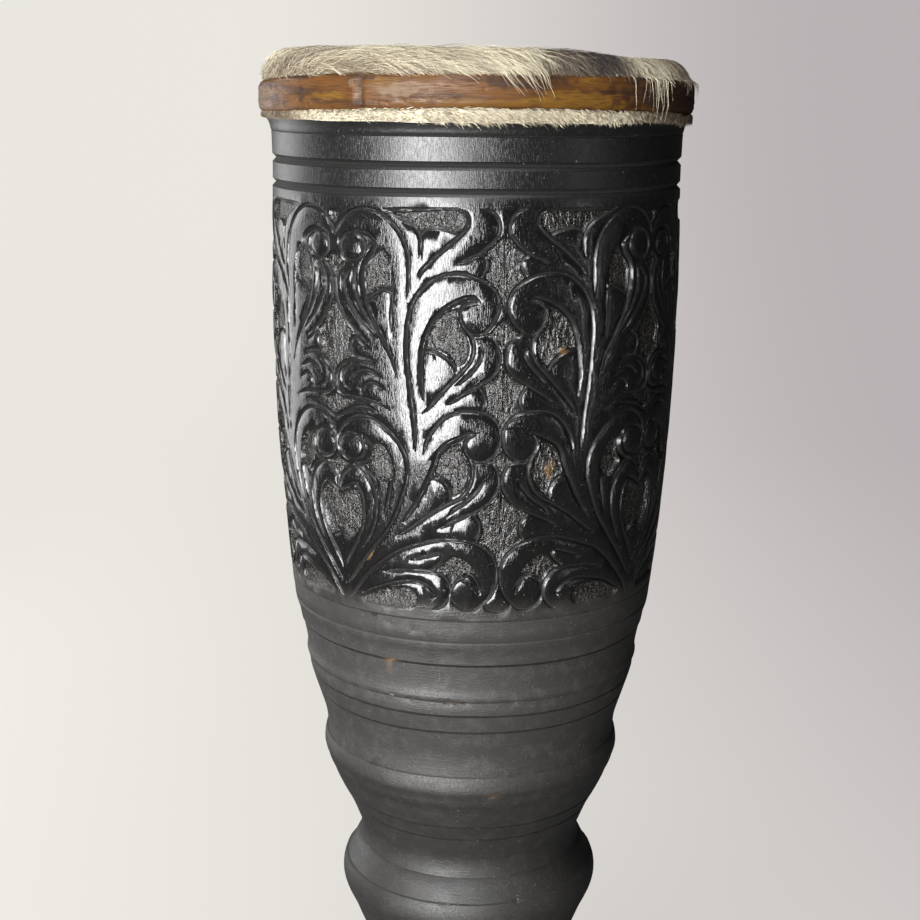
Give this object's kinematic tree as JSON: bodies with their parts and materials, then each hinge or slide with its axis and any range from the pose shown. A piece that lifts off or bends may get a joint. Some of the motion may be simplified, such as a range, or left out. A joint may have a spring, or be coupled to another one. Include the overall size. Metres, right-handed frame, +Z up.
{
  "type": "ceremonial goblet drum",
  "caption": "Turned wooden goblet drum with carved leaf scrolls, a hair-on hide head and a split cane hoop; stands on its spreading foot.",
  "frame": {"origin": "centre of the foot's underside, on the surface that the drum stands on", "axes": "+Z up along the turned axis to the drumhead, the carved fan that the front view shows faces -Y"},
  "size_m": [0.1694, 0.1694, 0.5116],
  "materials": {
    "black_stained_wood": "black stained and hand rubbed, satin on the leaves, dull and rough in the cut ground",
    "goat_hide": "dried hide with its coat of cream, grey and dark brown hair",
    "split_cane": "aged split cane with a glossy amber skin, dark streaks and worn pale patches"
  },
  "bodies": {
    "root": {"drum_body": "black_stained_wood", "drumhead_hide": "goat_hide", "cane_hoop": "split_cane"}
  },
  "joints": []
}
